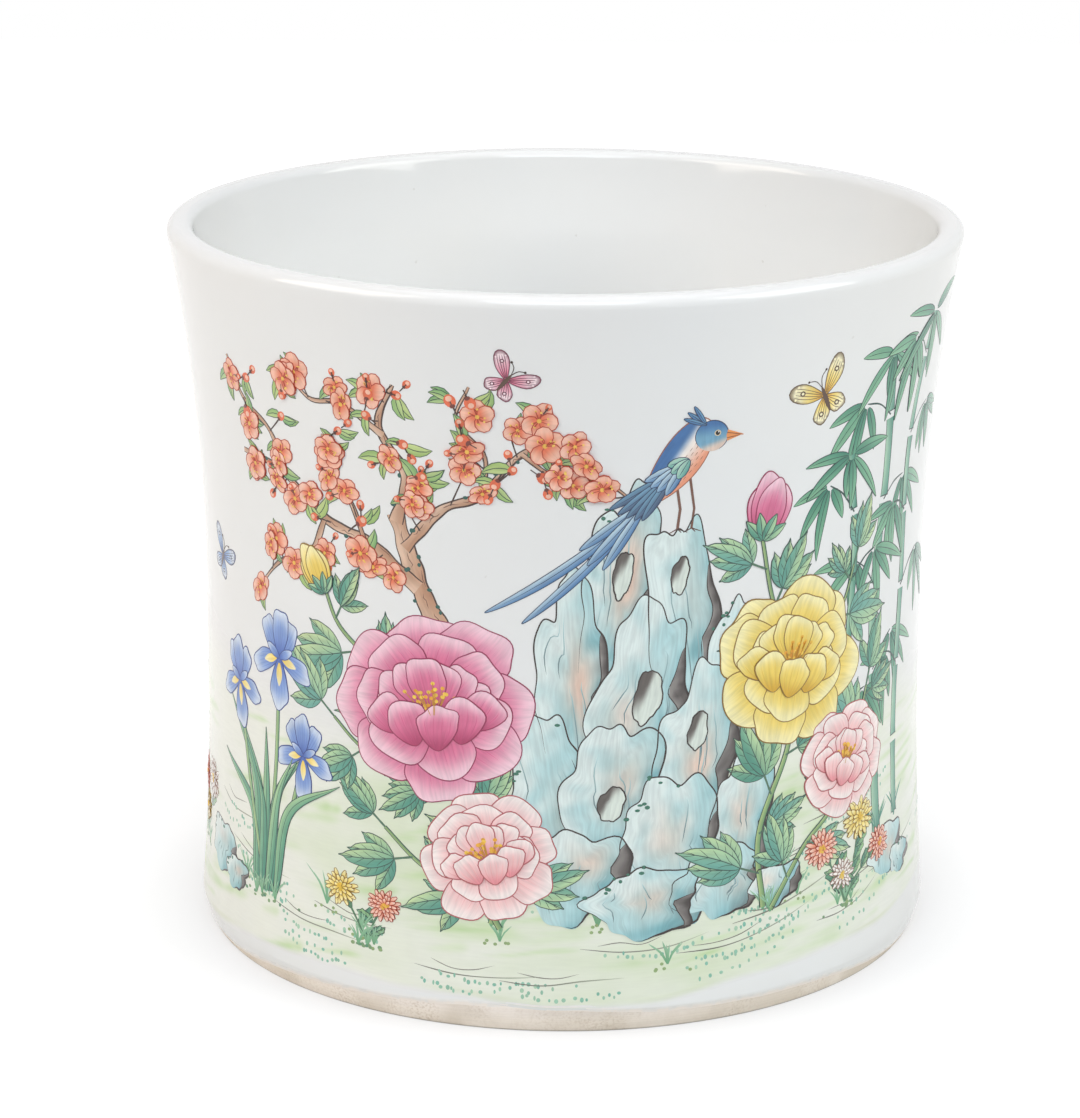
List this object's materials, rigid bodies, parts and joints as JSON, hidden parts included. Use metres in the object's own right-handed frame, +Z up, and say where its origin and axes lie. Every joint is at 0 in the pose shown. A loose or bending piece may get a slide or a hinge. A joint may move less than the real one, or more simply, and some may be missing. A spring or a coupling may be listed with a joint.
{
  "type": "brush pot",
  "caption": "Waisted cylindrical porcelain brush pot with a rounded lip, a bare bevelled foot, a recessed glazed base and painted garden enamels.",
  "frame": {"origin": "middle of the plane that the foot ring rests on", "axes": "+Z up along the pot's axis of revolution, -Y towards the painted front"},
  "size_m": [0.19, 0.19, 0.173],
  "materials": {
    "bare_porcelain": "matte",
    "clear_glaze": "polished",
    "painted_enamel": "gloss",
    "line_enamel": "satin"
  },
  "bodies": {
    "root": {"porcelain_body": "bare_porcelain", "outer_glaze": "clear_glaze", "inner_glaze": "clear_glaze", "base_glaze": "clear_glaze"}
  },
  "joints": []
}
